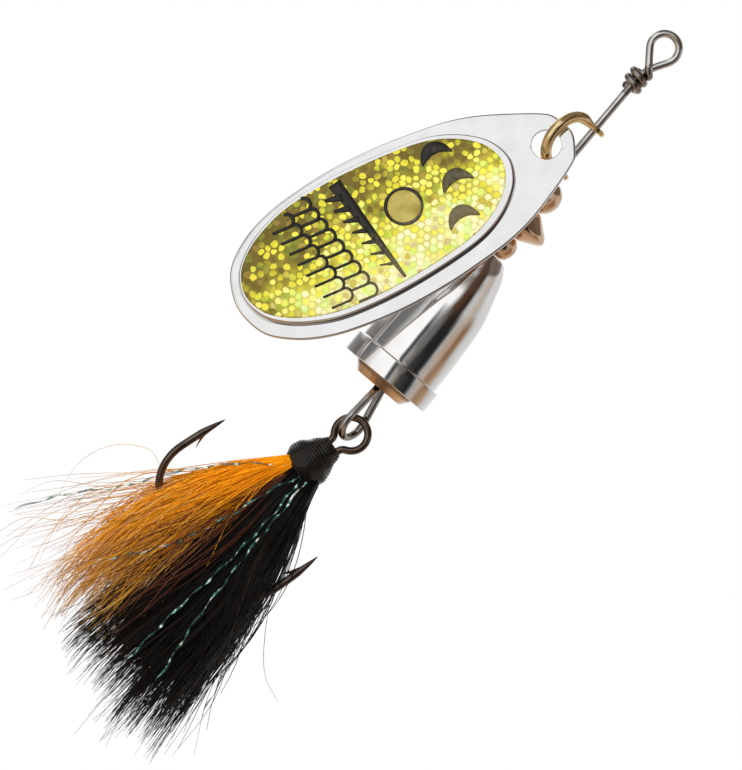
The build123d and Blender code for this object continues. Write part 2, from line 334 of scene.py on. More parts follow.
def node(tree, kind, inputs=(), **settings):
    """Adds a node. inputs pairs a socket's name or number with a value or another node's output."""
    made = tree.nodes.new("ShaderNode" + kind)
    for key, value in settings.items():
        setattr(made, key, value)
    for key, value in dict(inputs).items():
        if isinstance(value, bpy.types.NodeSocket):
            tree.links.new(value, made.inputs[key])
        else:
            made.inputs[key].default_value = value
    return made


def maths(tree, operation, *values):
    """One Math node's output."""
    return node(tree, "Math", enumerate(values), operation=operation).outputs[0]


def vectors(tree, operation, *values):
    """One Vector Math node's vector."""
    return node(tree, "VectorMath", enumerate(values), operation=operation).outputs["Vector"]


def mix(tree, share, first, second):
    """Two colours mixed by a share of the second."""
    return node(tree, "MixRGB", {"Fac": share, "Color1": first, "Color2": second}).outputs["Color"]


def ramp(tree, value, stops):
    """A colour ramp's output. Each stop is (place, colour), and a number stands for a grey."""
    made = node(tree, "ValToRGB", {"Fac": value})
    elements = made.color_ramp.elements
    while len(elements) < len(stops):
        elements.new(0.5)
    for element, (place, colour) in zip(elements, stops):
        element.position = place
        element.color = (*colour, 1) if hasattr(colour, "__len__") else (colour, colour, colour, 1)
    return made.outputs["Color"]


def spread(tree, value, low, high, start=0.0, end=1.0):
    """Maps start..end onto low..high."""
    ends = {"From Min": start, "From Max": end, "To Min": low, "To Max": high}
    return node(tree, "MapRange", {"Value": value, **ends}).outputs["Result"]


def millimetres(tree, scale=(1, 1, 1)):
    """The object's own coordinates in millimetres, stretched by scale."""
    where = node(tree, "TexCoord").outputs["Object"]
    return node(tree, "Mapping", {"Vector": where, "Scale": [s / MM for s in scale]}).outputs["Vector"]


def noise(tree, vector, scale, detail):
    """Cloudy noise's value."""
    return node(tree, "TexNoise", {"Vector": vector, "Scale": scale, "Detail": detail}).outputs["Fac"]


def bump(tree, height, strength, distance):
    """Feeds a height in 0..1 to the shader's normal; distance is in millimetres."""
    made = node(tree, "Bump", {"Height": height, "Strength": strength, "Distance": distance * MM})
    tree.links.new(made.outputs["Normal"], tree.nodes["Principled BSDF"].inputs["Normal"])


def drive(tree, socket, output):
    """Links an output to the shader's socket."""
    tree.links.new(output, tree.nodes["Principled BSDF"].inputs[socket])


def metal(name, colour, dark, rough, grain, grain_scale, wave, tarnish=0.35):
    """Metal with uneven polish, faint marks along its grain and some tarnish."""
    material = new_material(name, colour, rough[0], 1.0)
    tree = material.node_tree
    lines = noise(tree, millimetres(tree, grain), grain_scale, 4.0)
    patches = noise(tree, millimetres(tree), 0.55, 5.0)
    drive(tree, "Base Color", ramp(tree, patches, [(tarnish, dark), (tarnish + 0.3, colour)]))
    drive(tree, "Roughness", spread(tree, lines, *rough))
    bump(tree, lines, 1.0, wave)
    return material


def darkened_by_height(material, share_of, dark_tone):
    """Mixes a darker colour into a metal, painted shade (with tarnish in the wire's wrap), by a share worked
    out from the height.
    """
    tree = material.node_tree
    clean = tree.nodes["Principled BSDF"].inputs["Base Color"].links[0].from_socket
    height = node(tree, "SeparateXYZ", {"Vector": millimetres(tree)}).outputs["Z"]
    drive(tree, "Base Color", mix(tree, share_of(tree, height), clean, (*dark_tone, 1)))


def wrap_shade_and_tarnish(tree, height):
    """Darkening in the wire's wrap and its rear loop: partly painted shade, partly tarnish."""
    wrap = maths(tree, "COMPARE", height, WRAP_MIDDLE + DATUM, WRAP_HALF)
    rear = maths(tree, "LESS_THAN", height, REAR_TOP + DATUM)
    return maths(tree, "MAXIMUM", maths(tree, "MULTIPLY", wrap, 0.62), maths(tree, "MULTIPLY", rear, 0.45))


def seat_painted_shade(tree, height):
    """Painted shade where the weight meets the bell's rim."""
    low = spread(tree, height, 0.0, 0.75, -0.55 + DATUM, -0.20 + DATUM)
    return maths(tree, "MULTIPLY", low, maths(tree, "LESS_THAN", height, 1.0 + DATUM))


def ink_material():
    """Black print that thins to grey-brown towards the blade's inner side."""
    material = new_material("black_ink", (0.010, 0.009, 0.007), 0.35)
    tree = material.node_tree
    across = node(tree, "SeparateXYZ", {"Vector": millimetres(tree)}).outputs["X"]
    speckle = maths(tree, "MULTIPLY", noise(tree, millimetres(tree), 2.5, 3.0), 7.0)
    fade = spread(tree, maths(tree, "ADD", across, speckle), 0.0, 1.0, -7.0, -0.5)
    drive(tree, "Base Color", ramp(tree, fade, [(0, (0.008, 0.007, 0.005)), (1, (0.16, 0.135, 0.06))]))
    return material


def thread_material():
    """Black thread under clear lacquer."""
    material = new_material("black_thread", (0.004, 0.004, 0.004), 0.20, Specular_IOR_Level=0.42)
    tree = material.node_tree
    fuzz = noise(tree, millimetres(tree), 4.0, 4.0)
    drive(tree, "Base Color", ramp(tree, fuzz, [(0.4, 0.003), (0.8, (0.012, 0.011, 0.010))]))
    drive(tree, "Roughness", spread(tree, fuzz, 0.08, 0.20))
    return material


def hair_material(name, stops, gloss, **values):
    """Dyed hair: each hair carries its own shade, with fine streaks along it."""
    material = new_material(name, stops[1][1], 0.36, Specular_IOR_Level=gloss, **values)
    tree = material.node_tree
    shade = node(tree, "Attribute", attribute_name="shade").outputs["Fac"]
    streaks = noise(tree, millimetres(tree, (4, 4, 0.6)), 2.0, 4.0)
    mixed = maths(tree, "ADD", shade, maths(tree, "MULTIPLY", maths(tree, "SUBTRACT", streaks, 0.5), 0.25))
    drive(tree, "Base Color", ramp(tree, mixed, stops))
    drive(tree, "Roughness", spread(tree, streaks, 0.28, 0.46))
    return material


def flash_material():
    """Sheer green-blue tinsel; its bright pearl patches are painted glints that stand in for highlights."""
    coat = {"Coat_Weight": 0.3, "Coat_Roughness": 0.08}
    material = new_material("pearl_flash", (0.10, 0.25, 0.22), 0.18, 0.3, **coat)
    tree = material.node_tree
    patches = noise(tree, millimetres(tree), 1.5, 1.5)
    # painted highlight: the pale pearl stops put bright glints into the base colour
    drive(tree, "Base Color", ramp(tree, patches, [
        (0.44, (0.03, 0.10, 0.09)), (0.54, (0.08, 0.26, 0.22)), (0.60, (0.45, 0.75, 0.62)),
        (0.65, (0.95, 0.97, 0.90)), (0.72, (0.95, 0.85, 0.80)),
    ]))
    drive(tree, "Alpha", ramp(tree, patches, [(0.45, 0.42), (0.60, 0.95)]))
    drive(tree, "Roughness", spread(tree, patches, 0.10, 0.30))
    return material


DOT_PITCH = 0.76
ROW_PITCH = math.sqrt(3)


def dot_lattice(tree, place, shift):
    """Distance to the nearest point of an uneven lattice, and a random colour for that point."""
    moved = vectors(tree, "ADD", vectors(tree, "MULTIPLY", place, (1, 1 / ROW_PITCH, 1)), (shift, shift, 0))
    cell = vectors(tree, "FLOOR", moved)
    key = vectors(tree, "ADD", cell, (shift * 17, shift * 31, 0))
    tint = node(tree, "TexWhiteNoise", {"Vector": key}, noise_dimensions="2D").outputs["Color"]
    middle = vectors(tree, "MULTIPLY_ADD", tint, (0.16, 0.24, 0), (0.42, 0.38, 0))
    centred = vectors(tree, "SUBTRACT", vectors(tree, "SUBTRACT", moved, cell), middle)
    even = vectors(tree, "MULTIPLY", centred, (1, ROW_PITCH, 0))
    return node(tree, "VectorMath", {0: even}, operation="LENGTH").outputs["Value"], tint


def film_material():
    """Holographic film: close rows of round dots, each with its own gold and painted sparkle, paler towards
    one side.
    """
    gloss = {"Specular_IOR_Level": 0.35, "Coat_Weight": 0.25}
    material = new_material("gold_film", (0.68, 0.60, 0.10), 0.35, 0.15, **gloss)
    tree = material.node_tree
    uv = node(tree, "TexCoord").outputs["UV"]
    wobble = node(tree, "TexNoise", {"Vector": uv, "Scale": 0.9, "Detail": 2.0}).outputs["Color"]
    shifted = vectors(tree, "MULTIPLY_ADD", wobble, (0.62, 0.62, 0), uv)
    place = vectors(tree, "MULTIPLY", shifted, (1 / DOT_PITCH, 1 / DOT_PITCH, 0))
    first, first_tint = dot_lattice(tree, place, 0.0)
    second, second_tint = dot_lattice(tree, place, 0.5)
    distance = maths(tree, "MINIMUM", first, second)
    tint = mix(tree, maths(tree, "LESS_THAN", second, first), first_tint, second_tint)
    painted_sparkle, kind, size = node(tree, "SeparateColor", {"Color": tint}).outputs
    split = node(tree, "SeparateXYZ", {"Vector": uv}).outputs
    patches = maths(tree, "SUBTRACT", noise(tree, uv, 0.24, 2.0), 0.5)
    level = maths(tree, "ADD", spread(tree, split["Y"], 0.0, 1.0, 5.2, -6.0), patches)
    level = maths(tree, "SUBTRACT", level, spread(tree, split["X"], 0.0, 0.28, 20.0, 33.0))
    # painted sparkle: each dot's random brightness stands in for the glint it would catch
    lit = maths(tree, "ADD", level, maths(tree, "MULTIPLY", maths(tree, "SUBTRACT", painted_sparkle, 0.42), 0.72))
    dots = ramp(tree, lit, [
        (0.0, (0.14, 0.10, 0.0)), (0.14, (0.30, 0.25, 0.005)), (0.28, (0.66, 0.60, 0.02)),
        (0.48, (0.86, 0.77, 0.06)), (0.75, (0.87, 0.82, 0.22)), (1.0, (0.93, 0.89, 0.50)),
    ])
    ground = ramp(tree, level, [
        (0.0, (0.12, 0.085, 0.0)), (0.30, (0.30, 0.26, 0.01)), (0.60, (0.62, 0.59, 0.08)),
        (1.0, (0.90, 0.88, 0.46)),
    ])
    round_dot = maths(tree, "LESS_THAN", distance, maths(tree, "MULTIPLY_ADD", size, 0.14, 0.36))
    colour = mix(tree, round_dot, ground, dots)
    halo = maths(tree, "COMPARE", distance, 0.43, 0.06)
    drawn = maths(tree, "MULTIPLY", halo, maths(tree, "GREATER_THAN", size, 0.45))
    colour = mix(tree, maths(tree, "MULTIPLY", drawn, 0.38), colour, (0.22, 0.17, 0.04, 1))
    fresh = spread(tree, level, 0.10, 0.38, 0.15, 0.6)
    lime = maths(tree, "MULTIPLY", maths(tree, "GREATER_THAN", kind, 0.78), fresh)
    colour = mix(tree, lime, colour, (0.45, 0.85, 0.10, 1))
    brown = maths(tree, "MULTIPLY", maths(tree, "LESS_THAN", kind, 0.10), 0.55)
    colour = mix(tree, maths(tree, "MULTIPLY", brown, round_dot), colour, (0.34, 0.22, 0.03, 1))
    drive(tree, "Base Color", colour)
    drive(tree, "Roughness", spread(tree, kind, 0.25, 0.45))
    return material


EVEN = (1, 1, 1)
UPRIGHT = (1, 1, 0.15)
TURNED = (0.2, 0.2, 4)
# Each metal: name, bright and dark colour, roughness, the grain's stretch, scale and depth, and tarnish.
METALS = {
    "steel": ("stainless_wire", (0.78, 0.77, 0.75), (0.60, 0.58, 0.55), (0.08, 0.18), UPRIGHT, 4, 0.0008),
    "silver": ("silver_plate", (0.97, 0.96, 0.95), (0.93, 0.92, 0.90), (0.015, 0.05), EVEN, 1.1, 0.0012),
    "blade": ("blade_plate", (0.86, 0.86, 0.87), (0.80, 0.80, 0.79), (0.04, 0.09), EVEN, 0.7, 0.0015),
    "brass": ("brass_wire", (0.97, 0.78, 0.44), (0.76, 0.54, 0.26), (0.08, 0.17), EVEN, 3, 0.001),
    "copper": ("turned_brass", (0.84, 0.61, 0.42), (0.62, 0.40, 0.25), (0.08, 0.18), TURNED, 2, 0.0015, 0.28),
    "bronze": ("dark_bronze", (0.17, 0.13, 0.105), (0.08, 0.055, 0.045), (0.12, 0.24), EVEN, 3, 0.001, 0.3),
    "gold": ("gold_foil", (0.78, 0.66, 0.20), (0.50, 0.38, 0.08), (0.30, 0.45), EVEN, 5, 0.02),
}
ORANGE_TONES = [
    (0, (0.66, 0.19, 0.0)), (0.25, (1.0, 0.33, 0.0)), (0.55, (1.0, 0.45, 0.01)), (0.78, (1.0, 0.58, 0.10)),
    (0.90, (0.92, 0.60, 0.36)), (1.0, (0.62, 0.42, 0.34)),
]
BLACK_TONES = [(0, (0.002, 0.002, 0.002)), (0.7, (0.008, 0.007, 0.006)), (1.0, (0.05, 0.036, 0.028))]
BROWN_TONES = [(0, (0.02, 0.006, 0.002)), (0.5, (0.14, 0.035, 0.012)), (1, (0.38, 0.15, 0.07))]
SHEEN = {"Sheen_Weight": 0.8, "Sheen_Roughness": 0.5, "Sheen_Tint": (1.0, 0.42, 0.02, 1)}

MATERIAL = {key: metal(*values) for key, values in METALS.items()}
# painted shade, partly tarnish, darkens the wire's wrap and its rear loop
darkened_by_height(MATERIAL["steel"], wrap_shade_and_tarnish, (0.13, 0.11, 0.095))
# painted shade on the weight core where it meets the bell's rim
darkened_by_height(MATERIAL["copper"], seat_painted_shade, (0.10, 0.06, 0.035))
MATERIAL["thread"] = thread_material()
MATERIAL["orange"] = hair_material("orange_hair", ORANGE_TONES, 0.3, **SHEEN)
MATERIAL["black"] = hair_material("black_hair", BLACK_TONES, 0.30)
MATERIAL["brown"] = hair_material("brown_hair", BROWN_TONES, 0.4)
MATERIAL["flash"] = flash_material()
MATERIAL["film"] = film_material()
MATERIAL["ink"] = ink_material()

# ---------------- camera and light

VIEW_CENTRE = Vector((-0.69, 0, -1.36 + DATUM)) * MM
VIEW_HEIGHT = 77.0 * MM
VIEW_ROLL = math.radians(50)
CAMERA_DISTANCE = 0.60
SENSOR = 36.0


def make_camera():
    """A long lens level with the lure, rolled so that the shaft rises to the right."""
    data = bpy.data.cameras.new("camera")
    data.sensor_width = SENSOR
    data.lens = SENSOR * CAMERA_DISTANCE / VIEW_HEIGHT
    data.clip_start = 0.01
    data.clip_end = 20
    camera = bpy.data.objects.new("camera", data)
    bpy.context.scene.collection.objects.link(camera)
    right = Vector((math.sin(VIEW_ROLL), 0, math.cos(VIEW_ROLL)))
    up = Vector((-math.cos(VIEW_ROLL), 0, math.sin(VIEW_ROLL)))
    back = Vector((0, -1, 0))
    matrix = camera.matrix_world.to_3x3()
    matrix.col[0], matrix.col[1], matrix.col[2] = right, up, back
    camera.matrix_world = matrix.to_4x4()
    camera.location = VIEW_CENTRE + back * CAMERA_DISTANCE
    bpy.context.scene.camera = camera


# What the room shows to the rim, the bell's lower part and all above it: degrees round and colours.
RIM_ROOM = [
    (-180, 0.85), (-162, 0.70), (-142, 0.24), (-118, 0.17), (-105, (0.14, 0.11, 0.085)), (-96, 0.30),
    (-88, (0.34, 0.30, 0.27)), (-74, (0.46, 0.41, 0.35)), (-59, 0.66), (-47, 0.92), (-8, 1.0), (-4, 0.25),
    (-2, 0.06), (2, 0.08), (6, 0.34),
    (10, (0.34, 0.31, 0.28)), (17, (0.20, 0.17, 0.14)), (24, 0.05), (51, 0.014), (57, 0.10), (61, 0.34),
    (73, (0.48, 0.40, 0.36)), (86, (0.31, 0.19, 0.12)), (95, (0.34, 0.22, 0.13)), (106, (0.42, 0.28, 0.17)),
    (122, 0.58), (150, 0.72), (180, 0.85),
]
LOW_ROOM = [
    (-180, 0.9), (-118, 1.0), (-108, 0.55), (-100, (0.33, 0.27, 0.22)), (-91, (0.12, 0.085, 0.06)),
    (-79, (0.10, 0.07, 0.05)), (-69, (0.36, 0.34, 0.29)), (-58, 0.62), (-48, 0.90), (-42, 1.0), (-8, 1.0),
    (-4, 0.25), (-2, 0.07), (2, 0.07), (5, 0.20), (12, 0.15), (22, 0.13), (30, 0.02), (48, 0.015), (54, 0.05),
    (60, 0.38),
    (67, (0.44, 0.37, 0.30)), (80, (0.44, 0.31, 0.24)), (90, (0.22, 0.13, 0.07)), (100, (0.30, 0.19, 0.12)),
    (110, 0.52), (126, 0.64), (156, 0.68), (168, 0.9), (180, 0.9),
]
HIGH_ROOM = [
    (-180, 0.9), (-118, 0.85), (-102, 0.45), (-92, 0.25), (-80, 0.45), (-68, 0.92), (-35, 1.0),
    (-13, 0.98), (6, 0.95), (12, 0.50), (20, (0.10, 0.05, 0.03)), (46, (0.03, 0.015, 0.01)), (52, 0.30),
    (60, 0.55), (85, (0.50, 0.40, 0.32)), (96, 0.45), (110, 0.66), (154, 0.66), (168, 0.9), (180, 0.9),
]
CEILING = (0.09, 0.055, 0.035, 1)
GROUND = (0.55, 0.40, 0.26, 1)
DEEP_GROUND = (0.13, 0.085, 0.055, 1)


def make_world():
    """A pale studio with dark and warm strips round it, which the bright metal mirrors."""
    world = bpy.data.worlds.new("studio")
    bpy.context.scene.world = world
    world.use_nodes = True
    tree = world.node_tree
    tree.nodes.clear()
    split = node(tree, "SeparateXYZ", {"Vector": node(tree, "TexCoord").outputs["Generated"]})
    x, y, z = split.outputs
    sway = maths(tree, "MULTIPLY", maths(tree, "SINE", maths(tree, "MULTIPLY", z, 7.0)), 0.05)
    angle = maths(tree, "ADD", maths(tree, "ARCTAN2", x, maths(tree, "MULTIPLY", y, -1.0)), sway)
    place = maths(tree, "ADD", maths(tree, "DIVIDE", angle, 2 * math.pi), 0.5)
    rim, low, high = (
        ramp(tree, place, [((degrees + 180) / 360, colour) for degrees, colour in room])
        for room in (RIM_ROOM, LOW_ROOM, HIGH_ROOM)
    )

    def layer(start, full, under, over, depth=1.0):
        """Fades from one colour to another between two heights of the view's direction."""
        return mix(tree, spread(tree, z, 0.0, depth, start, full), under, over)

    room = layer(0.03, 0.09, rim, low)
    room = layer(0.14, 0.30, room, high)
    room = layer(0.50, 0.60, room, CEILING, 0.85)
    room = layer(-0.35, -0.60, room, GROUND, 0.75)
    room = layer(-0.86, -0.96, room, DEEP_GROUND, 0.85)
    lit = node(tree, "Background", {"Color": room, "Strength": 1.0}).outputs["Background"]
    plain = node(tree, "Background", {"Color": (1, 1, 1, 1), "Strength": 1.0}).outputs["Background"]
    seen = node(tree, "LightPath").outputs["Is Camera Ray"]
    mixed = node(tree, "MixShader", {0: seen, 1: lit, 2: plain}).outputs["Shader"]
    tree.links.new(mixed, tree.nodes.new("ShaderNodeOutputWorld").inputs["Surface"])
    bpy.context.scene.view_settings.view_transform = "Standard"


def make_light(name, direction, distance, size, power, shadow=True):
    """A soft square light that aims at the lure and doesn't show in its reflections."""
    data = bpy.data.lights.new(name, "AREA")
    data.size = size
    data.energy = power
    data.use_shadow = shadow
    light = bpy.data.objects.new(name, data)
    bpy.context.scene.collection.objects.link(light)
    direction = Vector(direction).normalized()
    light.location = VIEW_CENTRE + direction * distance
    light.rotation_euler = direction.to_track_quat("Z", "Y").to_euler()
    light.visible_glossy = False


make_camera()
make_world()
make_light("key", (-0.8, -1.0, 0.9), 0.5, 0.30, 1.7)
make_light("fill", (1.0, -0.8, 0.2), 0.6, 0.40, 0.7)
make_light("back", (0.2, 1.0, 0.6), 0.6, 0.40, 0.6)
make_light("front", (-0.4, -1.0, 0.2), 0.6, 0.40, 0.6, shadow=False)

# ---------------- shaft wire


def make_shaft_wire():
    """Rear loop, straight shaft, line-tie loop and its wrap: one wire."""
    side = np.array([math.cos(REAR_TURN), math.sin(REAR_TURN), 0])
    tag = 0.87 * side
    rear = arc((REAR_X, 0, REAR_HEIGHT), side, UP, REAR_RADIUS, 12, -192, 28)
    cx, cz = TIE_CENTRE
    tie = arc((cx, 0, cz), np.array([1.0, 0, 0]), UP, TIE_RADIUS, -28, 205, 30)
    tie[:, 1] = np.linspace(0.28, -0.22, len(tie))
    angles = WRAP_START + 2 * math.pi * np.linspace(0, WRAP_TURNS, 66)
    drop = WRAP_TOP - WRAP_PITCH * (angles - WRAP_START) / (2 * math.pi)
    wrap = np.column_stack([WRAP_RADIUS * np.cos(angles), WRAP_RADIUS * np.sin(angles), drop])
    tag_end = [tag + UP * 2.5, tag + UP * 0.5, tag + UP * REAR_TOP]
    shaft = [(0, 0, REAR_TOP), (0, 0, 0.3), (0, 0, 20), (0, 0, 38.5), (0, 0, 39.6), (0.42, 0.2, 40.9)]
    route = np.vstack([tag_end, rear, shaft, tie, [(0.02, -0.78, 40.95)], wrap])
    route = relaxed(spaced(route, WIRE_STEP), 14)
    points, radii = cut_ends(route, WIRE / 2)
    piece("shaft_wire", tube(points, radii, 24), MATERIAL["steel"], "shaft", "shaft_wire")


make_shaft_wire()

# ---------------- bell, weight and beads


def make_bell():
    """The plated bell with its thick rim, hollow inside."""
    curve = smooth(BELL_CURVE, 10)
    rim_edge = [(4.60, 2.15), (5.05, 2.15), (5.05, RIM_BOTTOM), (3.65, RIM_BOTTOM)]
    rim = rounded(rim_edge, [0.08, 0.10, 0.14, 0.08])
    inside = smooth([(3.65, 7.0), (3.2, 9.3), (2.6, 11.5), (1.7, 13.6), (0.9, 14.8)], 4)
    crown = rounded([(BORE, 14.9), (BORE, 16.40), (1.72, 16.40)], [0.05, 0.08, 0.14])
    return lathe(np.vstack([curve, rim, inside, crown]), 256)


def make_bead(profile):
    """A turned bead with softly rounded bore edges."""
    top, bottom = profile[-1][1], profile[0][1]
    bore = rounded([(BORE, top), (BORE, bottom)], [0.06, 0.06])
    return lathe(np.vstack([smooth(profile, 10), bore]))


# Outlines as (radius, height).
BELL_CURVE = [(1.95, 16.25), (2.7, 15.0), (3.2, 13.5), (3.8, 11.5), (4.2, 9.5), (4.5, 5.5), (4.6, 2.3)]
WEIGHT_EDGE = [
    (BORE, 8.0), (1.6, 8.0), (2.45, 7.6), (3.35, 5.8), (3.62, 4.8), (3.62, 0.4), (3.35, -0.25), (2.70, -1.10),
    (1.35, -1.10), (1.35, 3.20), (BORE, 3.80),
]
WEIGHT_CORNERS = [0, 0.1, 0.2, 0.2, 0.1, 0.1, 0.12, 0.10, 0.08, 0, 0]
LOWER_BEAD = [(1.15, 16.52), (1.55, 16.85), (1.80, 17.45), (1.85, 17.95), (1.70, 18.50), (1.25, 19.02)]
ROTOR_EDGE = [
    (BORE, 19.12), (1.30, 19.12), (3.30, 20.05), (3.50, 20.50), (3.25, 21.00), (1.50, 22.52), (BORE, 22.52),
]
ROTOR_CORNERS = [0.05, 0.12, 0.30, 0.22, 0.30, 0.12, 0.05]
UPPER_BEAD = [(1.30, 22.64), (1.85, 23.15), (2.15, 23.85), (2.20, 24.45), (1.95, 25.25), (1.30, 25.88)]

weight = lathe(rounded(WEIGHT_EDGE, WEIGHT_CORNERS), 192)
rotor = lathe(rounded(ROTOR_EDGE, ROTOR_CORNERS), 192)
piece("bell_body", make_bell(), MATERIAL["silver"], "bell", "bell_body")
piece("weight_core", weight, MATERIAL["copper"], "bell", "weight_core")
piece("lower_bead", make_bead(LOWER_BEAD), MATERIAL["copper"], "lower_bead", "lower_bead")
piece("rotor", rotor, MATERIAL["copper"], "rotor", "rotor")
piece("upper_bead", make_bead(UPPER_BEAD), MATERIAL["copper"], "upper_bead", "upper_bead")

# ---------------- clevis

CLEVIS_VOXEL = 0.045
EYE_INSET = 0.80
EYE_WALL = 0.80


def clevis_eye(height):
    """One pressed eye, a flat ring round the shaft."""
    low, high, bore = height - EYE_THICKNESS / 2, height + EYE_THICKNESS / 2, BORE + 0.04
    outline = [(bore, low), (EYE_RADIUS, low), (EYE_RADIUS, high), (bore, high)]
    return lathe(rounded(outline, [0.06, 0.2, 0.2, 0.06]), 64)


def make_clevis():
    """The stirrup, pressed flatter and wider towards its two eyes, fused with them into one skin."""
    outward = np.array([-math.sin(CLEVIS_TURN), -math.cos(CLEVIS_TURN), 0])
    leg = CLEVIS_REACH - CLEVIS_BEND
    low, high = CLEVIS_HEIGHT - CLEVIS_BEND, CLEVIS_HEIGHT + CLEVIS_BEND
    bend = arc(outward * leg + UP * CLEVIS_HEIGHT, outward, UP, CLEVIS_BEND, -90, 90, 40)
    eye = outward * EYE_INSET
    route = spaced(np.vstack([[eye + UP * low], bend, [eye + UP * high]]), WIRE_STEP)
    round_share = np.clip((route @ outward - 0.7) / 1.5, 0, 1) ** 0.8
    height = CLEVIS_WIRE / 2 * round_share + EYE_THICKNESS / 2 * (1 - round_share)
    width = CLEVIS_WIRE / 2 * round_share + EYE_WALL * (1 - round_share)
    across = np.cross(outward, UP)
    thick = np.cross(unit(np.gradient(route, axis=0)), across)
    sides = 28
    angles = full_turn(sides)[None, :, None]
    wide = width[:, None, None] * np.cos(angles) * across
    rings = route[:, None] + wide + height[:, None, None] * np.sin(angles) * thick[:, None]
    stirrup = rings.reshape(-1, 3), ring_faces(len(route), sides)
    shape = merged(stirrup, clevis_eye(low), clevis_eye(high))
    made = piece("clevis", shape, MATERIAL["brass"], "clevis", "clevis")
    fuse = made.modifiers.new("fuse", "REMESH")
    fuse.mode = "VOXEL"
    fuse.voxel_size = CLEVIS_VOXEL * MM
    made.modifiers.new("ease", "SMOOTH").iterations = 4
    applied(made)
    made.data.shade_smooth()


make_clevis()

# ---------------- blade

LEAN_DOWN, LEAN_LEFT = leaning(BLADE_LEAN)
BLADE_U = LEAN_DOWN * math.cos(BLADE_TILT) + OUT * math.sin(BLADE_TILT)
TILTED_OUT = OUT * math.cos(BLADE_TILT) - LEAN_DOWN * math.sin(BLADE_TILT)
BLADE_W = TILTED_OUT * math.cos(BLADE_ROLL) + LEAN_LEFT * math.sin(BLADE_ROLL)
BLADE_V = np.cross(BLADE_U, BLADE_W)


def on_blade(points):
    """(u, v, w) as points in space: u down the blade from its hole, v to its left, w out of its face."""
    return BLADE_HOLE + np.asarray(points, float) @ np.array([BLADE_U, BLADE_V, BLADE_W])


def even_ring(edge, count=320):
    """An outline all round from the edge table of one side, evenly spaced."""
    table = np.array(edge)
    closed = smooth(np.vstack([table, table[-2:0:-1] * (1, -1)]), 12, closed=True)
    fine = spaced(np.vstack([closed, closed[:1]]), 0.01)[:-1]
    places = np.linspace(0, len(fine), count, endpoint=False)
    return np.column_stack([np.interp(places, np.arange(len(fine)), fine[:, k]) for k in (0, 1)])


EDGE_RING = even_ring(BLADE_EDGE)
DOME_RING = even_ring(DOME_EDGE)


def dome_ring(inset):
    """The dome's outline drawn in by inset on every side."""
    along = (DOME_RING[:, 0] - DOME_MIDDLE) * (1 - inset / DOME_HALF) + DOME_MIDDLE
    return np.column_stack([along, DOME_RING[:, 1] * (1 - inset / DOME_WIDEST) + DOME_SHIFT])


def face_height(inset):
    """The face's height above the blade's back plane, at an inset from the dome's edge."""
    wall = np.clip(np.asarray(inset) / WALL_WIDTH, 0, 1)
    crown = 1 - (1 - np.clip(inset, 0, None) / DOME_WIDEST) ** 2
    step = WALL_RISE * (1 - (1 - wall) ** 2.2) * np.clip(wall * 6, 0, 1)
    return BLADE_THICKNESS + step + CROWN_RISE * crown


def drawn_in(ring, amount):
    """An outline moved inwards, square to itself."""
    inward = sideways(unit(np.roll(ring, -1, axis=0) - np.roll(ring, 1, axis=0)))
    side = np.sign(((ring.mean(0) - ring) * inward).sum())
    return ring + inward * side * amount


def inset_at(u, v):
    """How far inside the dome's edge a place (u, v) lies."""
    side = DOME_RING[: len(DOME_RING) // 2 + 1]
    low, high = 0.0, DOME_WIDEST
    for _ in range(24):
        middle = (low + high) / 2
        back_u = (u - DOME_MIDDLE) / (1 - middle / DOME_HALF) + DOME_MIDDLE
        width = np.interp(back_u, side[:, 0], side[:, 1], left=0, right=0)
        if abs(v - DOME_SHIFT) < width * (1 - middle / DOME_WIDEST):
            low = middle
        else:
            high = middle
    return low


def heights_at(places):
    """The face's height at each (u, v)."""
    return np.array([face_height(inset_at(u, v)) for u, v in places])


def stacked(rings):
    """One closed skin from (outline, heights) rings, the first and last drawn to their middles."""
    count = len(rings[0][0])
    points = np.vstack([np.column_stack([ring, np.broadcast_to(height, count)]) for ring, height in rings])
    faces = ring_faces(len(rings), count, capped=False)
    middles = [(*ring.mean(0), np.mean(height)) for ring, height in (rings[0], rings[-1])]
    top, bottom = len(points), len(points) + 1
    last = (len(rings) - 1) * count
    for k in range(count):
        j = (k + 1) % count
        faces.append((top, j, k))
        faces.append((bottom, last + k, last + j))
    return np.vstack([points, middles]), faces


INNER_INSET = 6.6


def hole_cutter():
    """A pin through the blade, a little wider at both faces to round the hole's edges."""
    wide, ends = HOLE_RADIUS + HOLE_CHAMFER, (0.0, BLADE_THICKNESS)
    steps = [(wide, ends[0] - 0.5), (wide, ends[0]), (HOLE_RADIUS, ends[0] + HOLE_CHAMFER)]
    steps += [(HOLE_RADIUS, ends[1] - HOLE_CHAMFER), (wide, ends[1]), (wide, ends[1] + 0.5)]
    turn = full_turn(96)
    rings = [np.column_stack([r * np.cos(turn), r * np.sin(turn), depth + 0 * turn]) for r, depth in steps]
    shape = on_blade(np.vstack(rings)), ring_faces(len(rings), len(turn))
    return piece("hole_cutter", shape, MATERIAL["blade"], "blade", slot=SLOT_OF["blade"])


